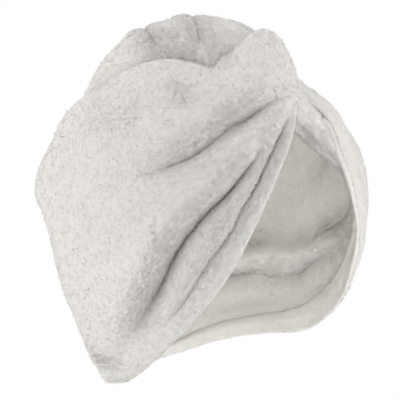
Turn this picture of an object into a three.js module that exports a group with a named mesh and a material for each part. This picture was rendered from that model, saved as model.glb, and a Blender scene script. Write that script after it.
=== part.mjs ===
// Hair turban towel, kept in the form it has when worn. Millimetres, +Z up, the wearer faces -Y.
// The cloth is laid out round the middle of the hollow, from the twist at the front of the crown
// down to the nape. Two angles in degrees say where a point of it lies:
// fall, from 0 at the twist to 180 at the nape, and
// lie, round the line between them, 0 at the top and back, positive on the wearer's right.
import * as THREE from 'three';

// Sizes of the whole
const span = 238; // straight from the twist to the nape
const reach = span / 2;
const lean = 36.4; // degrees that the twist stands forward of straight up
const clothWall = 3; // two layers of fleece
const foldDeep = 10;
const foldWide = 7;
const sagDeep = 9;
const sagWide = 13;

// Sizes of the turned edges inside the rims
const hemWall = 1.8;
const hemGap = 0.4;

// Sizes of the tail
const tailHigh = 25;
const tailGap = 0.8;
const pleatDeep = 6;

// Sizes of the button under the tail's end
const buttonWidth = 18;
const buttonThick = 3.2;
const buttonGap = 0.6;

// Form of the hood: shares of the reach, one row for each lie and one column for each fall
const fallOf = [0, 6, 12, 19, 26, 45, 70, 95, 106, 120, 145, 165, 180];
const sections = [
  { lie: -150, reach: [1.015, 1.015, 0.975, 0.94, 0.9, 0.85, 0.815, 0.825, 0.83, 0.85, 0.925, 0.965, 1] },
  { lie: -136, reach: [1.015, 1.025, 1.025, 1.025, 1.015, 0.94, 0.88, 0.855, 0.84, 0.855, 0.925, 0.965, 1] },
  { lie: -110, reach: [1.015, 1.025, 1.035, 1.035, 1.015, 0.95, 0.88, 0.855, 0.855, 0.88, 0.965, 1.025, 1] },
  { lie: -85, reach: [1.015, 1.025, 1.035, 1.035, 1.025, 0.965, 0.91, 0.89, 0.9, 0.925, 0.99, 1.05, 1.01] },
  { lie: -60, reach: [1.015, 1.025, 1.035, 1.035, 1.04, 1.04, 1.015, 1, 0.99, 0.975, 1.025, 1.065, 1.01] },
  { lie: -45, reach: [1.015, 1.04, 1.06, 1.065, 1.06, 1.09, 1.1, 1.075, 1.065, 1, 1.015, 1.05, 1.01] },
  { lie: -25, reach: [1.015, 1.085, 1.15, 1.145, 1.05, 1.065, 1.09, 1.09, 1.085, 1.025, 1.01, 1.04, 1.01] },
  { lie: 0, reach: [1.015, 1.12, 1.2, 1.225, 1.065, 1.05, 1.065, 1.085, 1.075, 1.04, 1.01, 1.035, 1.01] },
  { lie: 25, reach: [1.015, 1.11, 1.195, 1.2, 1.065, 1.075, 1.09, 1.09, 1.1, 1.025, 1.015, 1.06, 1.015] },
  { lie: 45, reach: [1.015, 1.1, 1.17, 1.135, 1.025, 1.12, 1.11, 1.09, 1.1, 1, 1.015, 1.09, 1.015] },
  { lie: 60, reach: [1.015, 1.09, 1.145, 1.11, 1.035, 1.04, 1.015, 1, 0.99, 0.975, 1, 1.1, 1.025] },
  { lie: 85, reach: [1.015, 1.075, 1.1, 1.075, 1.025, 0.96, 0.9, 0.88, 0.89, 0.91, 0.985, 1.11, 1.035] },
  { lie: 110, reach: [1.015, 1.05, 1.06, 1.04, 1.015, 0.94, 0.875, 0.85, 0.85, 0.865, 0.95, 1.09, 1.04] },
  { lie: 136, reach: [1.015, 1.035, 1.04, 1.025, 1.01, 0.935, 0.865, 0.84, 0.83, 0.82, 0.9, 0.95, 1] },
];

// Rims of the face opening
const nearRim = {
  fall: [0, 12, 26, 45, 70, 95, 120, 145, 165, 180],
  lie: [130, 133, 136, 136, 136, 134, 131, 127, 120, 112],
};
const farRim = {
  fall: [0, 12, 26, 45, 70, 95, 108, 120, 130, 140, 150, 160, 170, 180],
  lie: [-133, -143, -148, -147, -142, -136, -131, -122, -108, -96, -86, -76, -68, -64],
};

// Folds of the near side, in order from the rim up. Depths are shares of foldDeep, widths of foldWide.
// The lip is cloth heaped up on the fold's upper side, a share of its depth.
const foldFall = [0, 16, 26, 38, 50, 65, 80, 95, 110, 130, 150, 180];
const nearFolds = [
  {
    name: 'rim fold', width: 0.6, lip: 0.3, columns: 4,
    lie: [127, 128, 128, 128, 128, 127.5, 126.5, 125.5, 123.5, 120, 117, 105],
    depth: [0, 0.2, 0.4, 0.5, 0.5, 0.5, 0.45, 0.35, 0.2, 0, 0, 0],
  },
  {
    name: 'deep fold', width: 1, lip: 0.45, columns: 4,
    lie: [122, 124, 123.5, 121.5, 118.5, 114, 112, 113, 113.5, 112.5, 109, 98],
    depth: [0, 0, 0.2, 0.5, 0.8, 1, 1.05, 1.05, 0.9, 0.5, 0.2, 0],
  },
  {
    name: 'soft valley', width: 1.3, lip: 0, columns: 6,
    lie: [112, 113, 112, 110, 107, 100.5, 94, 90, 88, 88, 88, 84],
    depth: [0, 0, 0, 0.25, 0.45, 0.45, 0.4, 0.3, 0.1, 0, 0, 0],
  },
  {
    name: 'upper fold', width: 1, lip: 0.2, columns: 5,
    lie: [104, 102, 100, 96, 92.5, 84, 80, 76, 73, 70, 68, 66],
    depth: [0, 0.5, 0.85, 0.9, 0.8, 0.55, 0.3, 0.1, 0, 0, 0, 0],
  },
  {
    name: 'crest', width: 1.3, lip: 0, columns: 8,
    lie: [55, 54, 50, 43, 41, 40, 39, 38, 38, 40, 45, 48],
    depth: [0, 0, 0, -0.05, -0.05, -0.05, -0.05, 0, 0, 0, 0, 0],
  },
];

// Folds of the far side, in order from the top down, at shares of the far rim's lie
const farFolds = [
  {
    name: 'far crest', width: 1.3, lip: 0, columns: 8,
    share: [0.33, 0.33, 0.33, 0.33, 0.33, 0.33, 0.33, 0.33, 0.33, 0.36, 0.4, 0.4],
    depth: [0, 0, 0, -0.1, -0.2, -0.1, 0, 0, 0, 0, 0, 0],
  },
  {
    name: 'far upper fold', width: 1, lip: 0.2, columns: 5,
    share: [0.6, 0.62, 0.63, 0.63, 0.62, 0.61, 0.6, 0.6, 0.6, 0.6, 0.6, 0.6],
    depth: [0, 0.3, 0.5, 0.5, 0.4, 0.3, 0.2, 0.1, 0, 0, 0, 0],
  },
  {
    name: 'far deep fold', width: 1, lip: 0.4, columns: 5,
    share: [0.83, 0.84, 0.84, 0.84, 0.83, 0.82, 0.8, 0.78, 0.75, 0.72, 0.7, 0.7],
    depth: [0, 0.2, 0.5, 0.6, 0.6, 0.55, 0.4, 0.2, 0.1, 0, 0, 0],
  },
  {
    name: 'far hem line', width: 0.6, lip: 0.2, columns: 4,
    share: [0.93, 0.94, 0.94, 0.935, 0.93, 0.925, 0.92, 0.91, 0.9, 0.85, 0.83, 0.83],
    depth: [0, 0.2, 0.45, 0.5, 0.5, 0.4, 0.3, 0.2, 0.15, 0.1, 0.1, 0],
  },
];
const hemColumns = 4; // from each rim to its first fold
const foldsStart = 12; // folds fade out within these degrees of the twist
const foldsEnd = 20; // and within these of the nape

// Sag: where the cloth of the far side hangs over into the hollow above its hem
const sag = {
  lie: [-112, -102, -97, -88, -78, -70, -62, -50],
  fall: [88, 96, 109, 116, 123, 131, 142, 152],
  bulge: 0.33, // cloth pushed out below the sag, share of its depth
  slope: 0.75, // the sag runs slantwise, so its width is this share of its height
  front: -122, // it starts here and is whole after so many degrees
  frontFade: 18,
  back: -46,
  backFade: 20,
};

// Rows of the hood's cloth, closest together where the twist turns sharply
const rows = [
  0, 3, 6, 9, 12, 15.5, 19, 21.5, 23.5, 25.5, 29, 34, 40, 46, 52, 58.5, 65, 71.5, 78, 84.5,
  91, 97.5, 104, 110.5, 117, 123.5, 130, 137, 144, 151, 157.5, 163, 168, 172.5, 176.5, 180,
];
const hemFirstRow = 4;
const hemLastRow = rows.length - 3;

// Tail: rise is its height over the hood as a share of tailHigh, half its half width in degrees of lie
const tailForm = {
  fall: [26, 28, 31, 40, 55, 70, 80, 95, 120, 145, 160, 168, 170],
  rise: [0, 0.6, 0.84, 1, 0.96, 0.72, 0.48, 0.36, 0.4, 0.48, 0.36, 0.16, 0],
  half: [30, 31, 33, 36, 34, 28, 25, 23, 24, 26, 27, 20, 12],
};
// The tail comes out of the twist at its near corner: across runs from the far edge, -1, to the near one
const tailMouth = {
  across: [-1, -0.6, -0.2, 0.2, 0.6, 1],
  lie: [-30, 2, 27, 39, 44, 47],
};
const tailPleats = [
  { across: -0.75, depth: 0.65 },
  { across: -0.45, depth: 0.75 },
  { across: -0.2, depth: 0.85 },
  { across: 0.2, depth: 1 },
  { across: 0.6, depth: 0.85 },
];
const pleatWidth = 0.1; // of the half width
const tailRows = 24;
const tailColumns = 24;

const seatFall = 32; // where the hood bears on the top of the head
const buttonFall = 156;
const patchRings = 3; // where the hood's height under the button is taken
const patchSpokes = 16;

const rad = THREE.MathUtils.degToRad;
const up = new THREE.Vector3(0, -Math.sin(rad(lean)), Math.cos(rad(lean)));
const back = new THREE.Vector3(0, Math.cos(rad(lean)), Math.sin(rad(lean)));
const right = new THREE.Vector3(-1, 0, 0);

// Smooth curve through a table's values, which never passes beyond them
function curve(xs, ys) {
  const last = xs.length - 1;
  const slope = xs.slice(1).map((x, i) => (ys[i + 1] - ys[i]) / (x - xs[i]));
  const tangent = xs.map((x, i) => {
    if (i === 0) return slope[0];
    if (i === last) return slope[last - 1];
    const product = slope[i - 1] * slope[i];
    return product <= 0 ? 0 : (2 * product) / (slope[i - 1] + slope[i]);
  });
  return (x) => {
    if (x <= xs[0]) return ys[0];
    if (x >= xs[last]) return ys[last];
    const i = xs.findIndex((value) => value > x) - 1;
    const step = xs[i + 1] - xs[i];
    const t = (x - xs[i]) / step;
    const rest = 1 - t;
    const low = ys[i] * (1 + 2 * t) + tangent[i] * step * t;
    const high = ys[i + 1] * (1 + 2 * rest) - tangent[i + 1] * step * rest;
    return low * rest * rest + high * t * t;
  };
}

// Rounded hump, 1 in its middle
function hump(away, power) {
  return Math.exp(-(Math.abs(away) ** power));
}

// Point of the cloth at a lie, a fall and a distance from the middle
function place(lie, fall, far) {
  const aside = far * Math.sin(rad(fall));
  return new THREE.Vector3()
    .addScaledVector(up, far * Math.cos(rad(fall)))
    .addScaledVector(back, aside * Math.cos(rad(lie)))
    .addScaledVector(right, aside * Math.sin(rad(lie)));
}

// Lie and fall of a direction
function anglesOf(direction) {
  const lie = Math.atan2(direction.dot(right), direction.dot(back));
  return [THREE.MathUtils.radToDeg(lie), THREE.MathUtils.radToDeg(Math.acos(direction.dot(up)))];
}

const sectionCurves = sections.map((section) => curve(fallOf, section.reach));
const sectionLies = sections.map((section) => section.lie);
const nearRimLie = curve(nearRim.fall, nearRim.lie);
const farRimLie = curve(farRim.fall, farRim.lie);
const sagFall = curve(sag.lie, sag.fall);

// Folds of both sides as functions of the fall; towards is the way to the fold's upper side
const nearLines = nearFolds.map((fold) => ({
  ...fold, lieAt: curve(foldFall, fold.lie), depthAt: curve(foldFall, fold.depth), towards: 1,
}));
const farLines = farFolds.map((fold) => {
  const share = curve(foldFall, fold.share);
  const lieAt = (fall) => share(fall) * farRimLie(fall);
  return { ...fold, lieAt, depthAt: curve(foldFall, fold.depth), towards: -1 };
});
const lines = [...nearLines, ...farLines];

function smoothReach(lie, fall) {
  return reach * curve(sectionLies, sectionCurves.map((at) => at(fall)))(lie);
}

function foldOffset(line, lie, fall, perDegree) {
  const width = foldWide * line.width;
  const above = ((line.lieAt(fall) - lie) * perDegree * line.towards) / width;
  const fade = Math.min(1, fall / foldsStart, (180 - fall) / foldsEnd);
  const depth = foldDeep * line.depthAt(fall) * fade;
  return depth * (line.lip * hump(above - 1.7, 2) - hump(above, 1.4));
}

function sagOffset(lie, fall, far) {
  const below = ((fall - sagFall(lie)) * far * rad(1) * sag.slope) / sagWide;
  const start = (lie - sag.front) / sag.frontFade;
  const stop = (sag.back - lie) / sag.backFade;
  const here = sagDeep * Math.max(0, Math.min(1, start, stop));
  return here * (sag.bulge * hump(below - 0.9, 2) - hump(below + 0.8, 2));
}

// Distance of the hood's outer face from the middle
function hoodReach(lie, fall) {
  const smooth = smoothReach(lie, fall);
  const perDegree = smooth * Math.sin(rad(fall)) * rad(1);
  const folded = lines.reduce((sum, line) => sum + foldOffset(line, lie, fall, perDegree), smooth);
  return folded + sagOffset(lie, fall, smooth);
}

const seat = place(0, seatFall, hoodReach(0, seatFall) - clothWall);

// Normals of a grid of points, away from the middle
function normalsOf(grid) {
  const lastRow = grid.length - 1;
  return grid.map((row, j) => row.map((point, i) => {
    const down = grid[Math.min(lastRow, j + 1)][i].clone().sub(grid[Math.max(0, j - 1)][i]);
    const along = row[Math.min(row.length - 1, i + 1)].clone().sub(row[Math.max(0, i - 1)]);
    const normal = down.cross(along);
    if (normal.length() === 0) return point.clone().normalize();
    normal.normalize();
    return normal.dot(point) < 0 ? normal.negate() : normal;
  }));
}

function offset(grid, normals, distance) {
  return grid.map((row, j) => row.map((point, i) => point.clone().addScaledVector(normals[j][i], distance)));
}

// Closed body between two grids. With poles, the first and last rows are one point each.
function wall(outer, inner, poles) {
  const position = [];
  const index = [];
  const last = outer.length - 1;
  const edge = outer[0].length - 1;
  const store = (point) => position.push(...point.clone().sub(seat).toArray()) / 3 - 1;
  const number = (grid) => grid.map((row, j) => {
    if (!poles || (j > 0 && j < last)) return row.map(store);
    const pole = store(row[0]);
    return row.map(() => pole);
  });
  const triangle = (a, b, c) => {
    if (a !== b && b !== c && c !== a) index.push(a, b, c);
  };
  const quad = (a, b, c, d) => {
    triangle(a, b, c);
    triangle(a, c, d);
  };
  const out = number(outer);
  const into = number(inner);
  for (let j = 0; j < last; j += 1) {
    for (let i = 0; i < edge; i += 1) {
      quad(out[j][i], out[j][i + 1], out[j + 1][i + 1], out[j + 1][i]);
      quad(into[j][i], into[j + 1][i], into[j + 1][i + 1], into[j][i + 1]);
    }
    quad(out[j][0], out[j + 1][0], into[j + 1][0], into[j][0]);
    quad(out[j][edge], into[j][edge], into[j + 1][edge], out[j + 1][edge]);
  }
  for (let i = 0; i < edge && !poles; i += 1) {
    quad(out[0][i], into[0][i], into[0][i + 1], out[0][i + 1]);
    quad(out[last][i], out[last][i + 1], into[last][i + 1], into[last][i]);
  }
  const geometry = new THREE.BufferGeometry();
  geometry.setAttribute('position', new THREE.Float32BufferAttribute(position, 3));
  geometry.setIndex(index);
  geometry.computeVertexNormals();
  return geometry;
}

// Lies of one row of the hood, from the near rim over the top to the far rim: each fold has a column
function hoodLies(fall) {
  const marks = [nearRimLie(fall), ...lines.map((line) => line.lieAt(fall)), farRimLie(fall)];
  const counts = [...lines.map((line) => line.columns), hemColumns];
  const lies = [marks[0]];
  counts.forEach((count, k) => {
    for (let i = 1; i <= count; i += 1) lies.push(THREE.MathUtils.lerp(marks[k], marks[k + 1], i / count));
  });
  return lies;
}

const hoodOut = rows.map((fall) => hoodLies(fall).map((lie) => place(lie, fall, hoodReach(lie, fall))));
const hoodNormals = normalsOf(hoodOut);

function hood() {
  return wall(hoodOut, offset(hoodOut, hoodNormals, -clothWall), true);
}

// Turned edge inside a rim, over the hood's columns from first to last
function hem(first, last) {
  const layer = (depth) => offset(hoodOut, hoodNormals, -depth)
    .slice(hemFirstRow, hemLastRow + 1)
    .map((row) => row.slice(first, last + 1));
  const outer = clothWall + hemGap;
  return wall(layer(outer), layer(outer + hemWall), false);
}

const mouthLie = curve(tailMouth.across, tailMouth.lie);
const tailRise = curve(tailForm.fall, tailForm.rise);
const tailHalf = curve(tailForm.fall, tailForm.half);
const tailStart = tailForm.fall[0];
const tailEnd = tailForm.fall[tailForm.fall.length - 1];
const mouthSlant = 3; // the mouth's near corner starts this much lower
const mouthSpread = 15; // the tail has its full width so many degrees below its mouth
const mouthSwell = 5; // and its full height
const napeStart = 160;
const pleatsFrom = 34; // the pleats are deepest here
const pleatsFade = 26;

function tailPoint(across, t) {
  const startLie = mouthLie(across);
  const start = tailStart + mouthSlant * (startLie / tailMouth.lie[tailMouth.lie.length - 1]) ** 2;
  const share = 0.35 * t + 0.65 * t * t * (1.6 - 0.6 * t);
  const fall = THREE.MathUtils.lerp(start, tailEnd, share);
  const spread = Math.min(1, (fall - start) / mouthSpread);
  const lie = THREE.MathUtils.lerp(startLie, tailHalf(fall) * across, spread * (2 - spread));
  const plump = (1 - across ** 4) ** 0.75;
  const swell = fall > napeStart ? 1 : Math.sqrt(Math.min(1, (fall - start) / mouthSwell));
  const full = tailHigh * tailRise(Math.max(fall, tailForm.fall[1])) * plump * swell;
  const fade = Math.min(1, (fall - start) / mouthSwell) * (0.45 + 0.55 * hump((fall - pleatsFrom) / pleatsFade, 2));
  const taken = pleatDeep * fade * Math.min(1, (3 * full) / tailHigh);
  const rise = tailPleats.reduce(
    (sum, pleat) => sum - taken * pleat.depth * hump((across - pleat.across) / pleatWidth, 1.4),
    full,
  );
  return place(lie, fall, hoodReach(lie, fall) + tailGap + Math.max(0, rise));
}

function tail() {
  const inner = [];
  for (let j = 0; j <= tailRows; j += 1) {
    const row = [];
    for (let i = 0; i <= tailColumns; i += 1) row.push(tailPoint(1 - (2 * i) / tailColumns, j / tailRows));
    inner.push(row);
  }
  return wall(offset(inner, normalsOf(inner), clothWall), inner, false);
}

// How far out the hood reaches along a direction, over a round patch of it
function hoodHeight(away, radius) {
  const middle = hoodReach(...anglesOf(away));
  const across = new THREE.Vector3().crossVectors(away, right).normalize();
  let height = middle;
  for (let ring = 1; ring <= patchRings; ring += 1) {
    for (let spoke = 0; spoke < patchSpokes; spoke += 1) {
      const offset = across.clone().applyAxisAngle(away, (2 * Math.PI * spoke) / patchSpokes);
      const toward = away.clone().multiplyScalar(middle).addScaledVector(offset, (radius * ring) / patchRings).normalize();
      height = Math.max(height, hoodReach(...anglesOf(toward)) * toward.dot(away));
    }
  }
  return height;
}

function napeButton() {
  const radius = buttonWidth / 2;
  const away = place(0, buttonFall, 1).normalize();
  const at = away.clone().multiplyScalar(hoodHeight(away, radius) + buttonGap + buttonThick / 2).sub(seat);
  const geometry = new THREE.CylinderGeometry(radius, radius, buttonThick, 32);
  geometry.applyQuaternion(new THREE.Quaternion().setFromUnitVectors(new THREE.Vector3(0, 1, 0), away));
  geometry.translate(at.x, at.y, at.z);
  return geometry;
}

const fleece = new THREE.MeshStandardMaterial({ color: '#d6d2cc', roughness: 0.95, metalness: 0 });
const pressedFleece = new THREE.MeshStandardMaterial({ color: '#cdcac5', roughness: 0.95, metalness: 0 });
const plainButton = new THREE.MeshStandardMaterial({ color: '#d8d4cd', roughness: 0.5, metalness: 0 });

const turban = new THREE.Group();
turban.name = 'hair_turban_towel';

function add(name, geometry, material) {
  const mesh = new THREE.Mesh(geometry, material);
  mesh.name = name;
  turban.add(mesh);
}

const farEdge = hoodOut[0].length - 1;
add('hood', hood(), fleece);
add('hem_near', hem(0, nearFolds[0].columns), pressedFleece);
add('hem_far', hem(farEdge - hemColumns, farEdge), pressedFleece);
add('tail', tail(), fleece);
add('nape_button', napeButton(), plainButton);

export default turban;
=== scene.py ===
"""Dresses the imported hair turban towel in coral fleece, with its pile, turned edges, button and studio.

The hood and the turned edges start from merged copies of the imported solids, and the tail and the strand
are sheets laid on the hood's cloth. Creases finer than the solids hold are drawn on them by lie and fall,
the two angles round the middle of the hollow that the part's source uses.
"""
import math

import bmesh
import bpy
import numpy as np
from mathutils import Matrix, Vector
from mathutils.bvhtree import BVHTree


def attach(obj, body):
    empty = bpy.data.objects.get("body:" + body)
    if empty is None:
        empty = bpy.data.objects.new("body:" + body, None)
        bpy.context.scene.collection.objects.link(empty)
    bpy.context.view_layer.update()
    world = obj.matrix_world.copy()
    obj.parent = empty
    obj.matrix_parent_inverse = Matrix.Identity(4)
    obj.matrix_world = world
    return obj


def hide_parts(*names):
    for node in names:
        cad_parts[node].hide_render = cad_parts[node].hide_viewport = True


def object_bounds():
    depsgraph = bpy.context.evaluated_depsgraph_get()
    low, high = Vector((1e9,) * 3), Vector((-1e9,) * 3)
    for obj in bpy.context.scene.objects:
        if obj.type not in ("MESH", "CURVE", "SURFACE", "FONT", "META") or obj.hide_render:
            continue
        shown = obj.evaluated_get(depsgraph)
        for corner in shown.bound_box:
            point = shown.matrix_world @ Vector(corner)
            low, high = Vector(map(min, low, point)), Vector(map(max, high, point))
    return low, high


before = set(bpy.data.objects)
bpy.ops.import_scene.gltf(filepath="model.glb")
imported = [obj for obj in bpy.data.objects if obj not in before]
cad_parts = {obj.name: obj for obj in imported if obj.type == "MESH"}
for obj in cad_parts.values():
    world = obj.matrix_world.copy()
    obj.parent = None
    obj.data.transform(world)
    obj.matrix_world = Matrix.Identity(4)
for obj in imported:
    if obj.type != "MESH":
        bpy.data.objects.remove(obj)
cad_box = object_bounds()

bl_info = {
    "name": "Hair turban towel",
    "version": (1, 0, 0),
    "blender": (4, 5, 0),
    "location": "3D View > Sidebar > Towel",
    "description": "Makes the fleece, pile, button and studio of a hair turban towel",
    "category": "Mesh",
}

MM = 0.001
BODY = "root"

# Where the cloth is laid out from, as in the part's source
MIDDLE = np.array((0.0, 9.3, -122.4)) * MM
LEAN = math.radians(36.4)
UP = np.array((0.0, -math.sin(LEAN), math.cos(LEAN)))
BACK = np.array((0.0, math.cos(LEAN), math.sin(LEAN)))
RIGHT = np.array((-1.0, 0.0, 0.0))
FACES_IN = -0.1  # a face that looks out of the hollow by this share or less is an inner one

# Creases of the cloth: points along each by lie and fall in degrees, and its depth there as a share of
# the crease depth. The width is a share of the crease width. Outside creases show on the outer face and
# inside ones in the hollow. Over is the side whose cloth hangs over the crease: -1 towards smaller lies
# or falls, 1 towards larger ones.
CREASES = (
    {
        "name": "upper fold", "of": "hood", "face": "outside", "width": 0.9, "over": -1,
        "lie": (101, 98, 96, 94, 94, 93, 92, 86, 80),
        "fall": (16, 23, 28, 32, 39, 46, 50, 61, 71),
        "depth": (0.3, 0.8, 1.1, 1, 0.7, 1, 0.9, 0.4, 0),
    },
    {
        "name": "deep fold", "of": "hood", "face": "outside", "width": 1.2, "over": -1,
        "lie": (121, 120, 118, 117, 115, 113, 112, 111, 111, 112, 112, 112, 112),
        "fall": (30, 37, 44, 51, 57, 64, 72, 80, 88, 96, 108, 120, 132),
        "depth": (0, 0.6, 1, 1.2, 1.2, 1.1, 1.2, 1.5, 1.5, 1.3, 0.9, 0.5, 0),
    },
    {
        "name": "rim fold", "of": "hood", "face": "outside", "width": 0.7, "over": -1,
        "lie": (126, 126, 127, 127, 126, 127, 126, 125, 125, 125, 123),
        "fall": (20, 28, 38, 47, 55, 63, 71, 78, 88, 101, 116),
        "depth": (0.4, 0.8, 0.9, 0.9, 0.9, 0.9, 0.8, 0.7, 0.6, 0.4, 0),
    },
    {
        "name": "faint fold", "of": "hood", "face": "outside", "width": 0.7, "over": -1,
        "lie": (50, 54, 59, 63, 66),
        "fall": (74, 68, 63, 58, 54),
        "depth": (0, 0.25, 0.2, 0.3, 0),
    },
    {
        "name": "small step", "of": "hood", "face": "outside", "width": 0.8, "over": -1,
        "lie": (56, 60, 66, 72, 75),
        "fall": (37, 39, 40, 41, 42),
        "depth": (0, 0.35, 0.4, 0.3, 0),
    },
    {
        "name": "tip dimple", "of": "hood", "face": "outside", "width": 1.2, "over": -1,
        "lie": (88, 96, 103, 108),
        "fall": (150, 149, 147, 144),
        "depth": (0.4, 0.9, 0.5, 0),
    },
    {
        "name": "far upper fold", "of": "hood", "face": "outside", "width": 1.0, "over": 1,
        "lie": (-90, -93, -93, -90, -87, -84),
        "fall": (16, 26, 38, 50, 65, 80),
        "depth": (0.3, 1, 1, 0.8, 0.5, 0),
    },
    {
        "name": "far deep fold", "of": "hood", "face": "outside", "width": 1.2, "over": 1,
        "lie": (-124, -124, -121, -117, -112, -106),
        "fall": (26, 38, 50, 65, 80, 95),
        "depth": (0.4, 1, 1.2, 1.1, 0.8, 0),
    },
    {
        "name": "overhang", "of": "hood", "face": "inside", "width": 1.8, "over": -1,
        "lie": (-64, -68, -74, -83, -93, -101, -104, -109, -112, -115),
        "fall": (142, 132, 126, 118, 112, 105, 100, 91, 85, 77),
        "depth": (1.2, 2.6, 2.9, 2.2, 1.7, 1.8, 2.1, 1.7, 1.1, 0),
    },
    {
        "name": "nick", "of": "hood", "face": "inside", "width": 1.0, "over": -1,
        "lie": (-101, -103, -105, -107, -109, -111),
        "fall": (88, 85, 81, 76, 70, 64),
        "depth": (0, 1.3, 1.5, 1.1, 0.5, 0),
    },
    {
        "name": "inner dent", "of": "hood", "face": "inside", "width": 1.3, "over": -1,
        "lie": (-62, -70, -75, -80, -88),
        "fall": (113, 109, 106, 103, 99),
        "depth": (0, 0.5, 0.5, 0.2, 0),
    },
    {
        "name": "first pleat", "of": "tail", "face": "outside", "width": 1.5, "over": 1,
        "lie": (46, 44, 39, 36, 34, 30, 19, 6, -6),
        "fall": (29, 32, 37, 41, 44, 47, 52, 58, 64),
        "depth": (0.6, 0.7, 0.7, 0.8, 1, 1.2, 1.2, 0.7, 0),
    },
    {
        "name": "second pleat", "of": "tail", "face": "outside", "width": 1.4, "over": 1,
        "lie": (44, 43, 39, 31, 24, 12, -4, -18),
        "fall": (28, 30, 32, 34, 36, 40, 46, 54),
        "depth": (0.2, 0.25, 0.4, 1.1, 1.3, 1, 0.6, 0),
    },
    {
        "name": "third pleat", "of": "tail", "face": "outside", "width": 1.3, "over": -1,
        "lie": (-20, -19, -20, -22, -22),
        "fall": (30, 40, 52, 66, 84),
        "depth": (0.4, 1, 0.9, 0.6, 0),
    },
    {
        "name": "back pleat", "of": "tail", "face": "outside", "width": 1.2, "over": 1,
        "lie": (4, 3, 2, 4, 5),
        "fall": (84, 100, 120, 140, 158),
        "depth": (0, 0.6, 0.9, 0.6, 0),
    },
)

# Form of the tail over the hood: its height as a share of the tail's height and half its width in
# degrees of lie, by fall; and the lie of its mouth, from the far corner, across -1, to the near one
TAIL_FALL = (26, 28, 31, 40, 55, 70, 80, 95, 120, 145, 160, 168, 171)
TAIL_RISE = (0.61, 0.61, 0.85, 1, 0.97, 0.62, 0.26, 0.2, 0.34, 0.44, 0.34, 0.16, 0)
TAIL_HALF = (30, 31, 34, 38, 36, 30, 27, 25, 25, 27, 27, 20, 12)
MOUTH_ACROSS = (-1, -0.6, -0.2, 0.2, 0.6, 1)
MOUTH_LIE = (-30, 2, 27, 39, 44, 48)
MOUTH_SLANT = 3  # how much lower the mouth's near corner lies than its highest place, in degrees of fall
MOUTH_SPREAD = 15  # degrees of fall over which the tail passes from the mouth's line to even columns
MOUTH_SWELL = 9  # degrees of fall over which it swells to its height
TAIL_THIN = 0.08  # wall at the tail's rim, as a share of the full wall
TAIL_COLUMNS = 56  # faces across the tail, and along it
TAIL_ROWS = 72
CAST_FROM = 0.3  # distance from the middle, in metres, that lies outside all cloth

# Strand of the twist that runs inside the far rim: its middle by lie and fall, its height over the inner
# face and its radius, in millimetres
STRAND_LIE = (-88, -92, -100, -108, -118, -126, -130, -134, -132, -131, -131, -131)
STRAND_FALL = (-14, -7, 1, 6, 11, 16, 20, 28, 36, 44, 52, 62)
STRAND_HEIGHT = (3, 8, 11, 12, 13, 13.5, 12.5, 9.5, 8, 6, 2.5, -2)
STRAND_RADIUS = (7, 11, 12.6, 12.8, 12.6, 12, 11.2, 8.8, 6, 4.4, 3.2, 1.5)
STRAND_CREASE = 0.14  # depth of the line between the strand's two turns, as a share of the radius
STRAND_CREASE_AT = -0.5  # where round the strand that line runs, in radians
STRAND_CREASE_WIDTH = 0.22  # in radians
STRAND_NAP = 0.8  # length of its pile, as a share of the full length
STRAND_EASING = 6  # times that its way is smoothed
STRAND_ROUND = 48  # faces round the strand, and along it
STRAND_LONG = 110

# Far rim of the hood, and the turned edge inside it: its inner line as a share of the rim's lie
FAR_RIM_FALL = (0, 12, 26, 45, 70, 95, 108, 120, 130, 140, 150, 160, 170, 180)
FAR_RIM_LIE = (-133, -143, -148, -147, -142, -136, -131, -122, -108, -96, -86, -76, -68, -64)
TURNED_SHARE = 0.88  # where the turned edge begins on the rim's lie
TURNED_NARROW = 0.22  # share of its width that the turned edge gives up
TURNED_NARROW_TOP = 0.5  # share more that it gives up near the crown
TURNED_TOP_FALL = 60  # fall, in degrees, from which it begins to do so on the way to the crown
TURNED_TOP_FADE = 30  # degrees of fall after which it has given up all of that
TURNED_PAST = 2.2 * MM  # how far the turned edge passes the rim
TURNED_PAST_FROM = 0.6  # share of its width from which it does so
TURNED_ROUND = 2.2 * MM  # how far it bulges in the middle

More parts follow.
